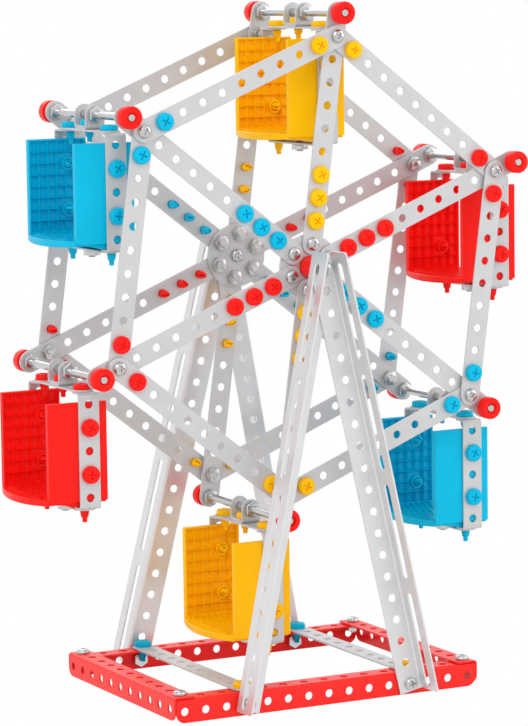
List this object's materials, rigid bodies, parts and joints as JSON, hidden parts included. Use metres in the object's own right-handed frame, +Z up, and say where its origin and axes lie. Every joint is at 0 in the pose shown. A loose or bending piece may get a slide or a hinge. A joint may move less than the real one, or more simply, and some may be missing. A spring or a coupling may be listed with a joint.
{
  "type": "ferris wheel construction set",
  "caption": "Toy ferris wheel bolted together from punched metal strips and girders, with a spinning wheel and plastic gondolas that swing on rods.",
  "frame": {"origin": "centre of the footprint on the ground", "axes": "+Z up, +Y from the front frame to the back frame along the wheel's axis, +X along the long side of the base"},
  "size_m": [0.3, 0.1794, 0.3864],
  "materials": {
    "strip_steel": "satin zinc",
    "leg_steel": "bright zinc",
    "bright_steel": "nickel",
    "red_enamel": "gloss enamel",
    "red_plastic": "moulded",
    "blue_plastic": "moulded",
    "yellow_plastic": "moulded"
  },
  "bodies": {
    "stand": {"base_girder_front": "red_enamel", "base_girder_back": "red_enamel", "base_girder_left": "red_enamel", "base_girder_right": "red_enamel", "base_cross_strip_left": "strip_steel", "base_cross_strip_right": "strip_steel", "leg_front_left": "leg_steel", "leg_front_right": "leg_steel", "leg_back_left": "leg_steel", "leg_back_right": "leg_steel", "axle_bolt_front": "bright_steel", "axle_bolt_back": "bright_steel", "axle_spacer_front": "red_plastic", "axle_spacer_back": "red_plastic"},
    "wheel": {"hub_disc_front": "strip_steel", "hub_disc_back": "strip_steel", "spoke_front_top": "strip_steel", "spoke_front_upper_right": "strip_steel", "spoke_front_lower_right": "strip_steel", "spoke_front_bottom": "strip_steel", "spoke_front_lower_left": "strip_steel", "spoke_front_upper_left": "strip_steel", "spoke_back_top": "strip_steel", "spoke_back_upper_right": "strip_steel", "spoke_back_lower_right": "strip_steel", "spoke_back_bottom": "strip_steel", "spoke_back_lower_left": "strip_steel", "spoke_back_upper_left": "strip_steel", "rim_front_top_right": "strip_steel", "rim_front_right": "strip_steel", "rim_front_bottom_right": "strip_steel", "rim_front_bottom_left": "strip_steel", "rim_front_left": "strip_steel", "rim_front_top_left": "strip_steel", "rim_back_top_right": "strip_steel", "rim_back_right": "strip_steel", "rim_back_bottom_right": "strip_steel", "rim_back_bottom_left": "strip_steel", "rim_back_left": "strip_steel", "rim_back_top_left": "strip_steel", "rod_top": "bright_steel", "rod_upper_right": "bright_steel", "rod_lower_right": "bright_steel", "rod_bottom": "bright_steel", "rod_lower_left": "bright_steel", "rod_upper_left": "bright_steel"},
    "gondola_top": {"hanger_top": "strip_steel", "seat_top": "yellow_plastic"},
    "gondola_upper_right": {"hanger_upper_right": "strip_steel", "seat_upper_right": "red_plastic"},
    "gondola_lower_right": {"hanger_lower_right": "strip_steel", "seat_lower_right": "blue_plastic"},
    "gondola_bottom": {"hanger_bottom": "strip_steel", "seat_bottom": "yellow_plastic"},
    "gondola_lower_left": {"hanger_lower_left": "strip_steel", "seat_lower_left": "red_plastic"},
    "gondola_upper_left": {"hanger_upper_left": "strip_steel", "seat_upper_left": "blue_plastic"}
  },
  "joints": [
    {"name": "wheel_spin", "type": "hinge", "parent": "stand", "child": "wheel", "pos_m": [0.00985, -0.00793, 0.24175], "axis": [0, 1, 0], "continuous": true},
    {"name": "gondola_top_turn", "type": "hinge", "parent": "wheel", "child": "gondola_top", "pos_m": [0.02881, -0.00793, 0.38016], "axis": [0, 1, 0], "continuous": true},
    {"name": "gondola_upper_right_turn", "type": "hinge", "parent": "wheel", "child": "gondola_upper_right", "pos_m": [0.13919, -0.00793, 0.29454], "axis": [0, 1, 0], "continuous": true},
    {"name": "gondola_lower_right_turn", "type": "hinge", "parent": "wheel", "child": "gondola_lower_right", "pos_m": [0.12023, -0.00793, 0.15613], "axis": [0, 1, 0], "continuous": true},
    {"name": "gondola_bottom_turn", "type": "hinge", "parent": "wheel", "child": "gondola_bottom", "pos_m": [-0.00911, -0.00793, 0.10335], "axis": [0, 1, 0], "continuous": true},
    {"name": "gondola_lower_left_turn", "type": "hinge", "parent": "wheel", "child": "gondola_lower_left", "pos_m": [-0.11949, -0.00793, 0.18897], "axis": [0, 1, 0], "continuous": true},
    {"name": "gondola_upper_left_turn", "type": "hinge", "parent": "wheel", "child": "gondola_upper_left", "pos_m": [-0.10053, -0.00793, 0.32738], "axis": [0, 1, 0], "continuous": true}
  ],
  "couplings": [
    {"joint": "gondola_top_turn", "follows": "wheel_spin", "ratio": -1},
    {"joint": "gondola_upper_right_turn", "follows": "wheel_spin", "ratio": -1},
    {"joint": "gondola_lower_right_turn", "follows": "wheel_spin", "ratio": -1},
    {"joint": "gondola_bottom_turn", "follows": "wheel_spin", "ratio": -1},
    {"joint": "gondola_lower_left_turn", "follows": "wheel_spin", "ratio": -1},
    {"joint": "gondola_upper_left_turn", "follows": "wheel_spin", "ratio": -1}
  ]
}
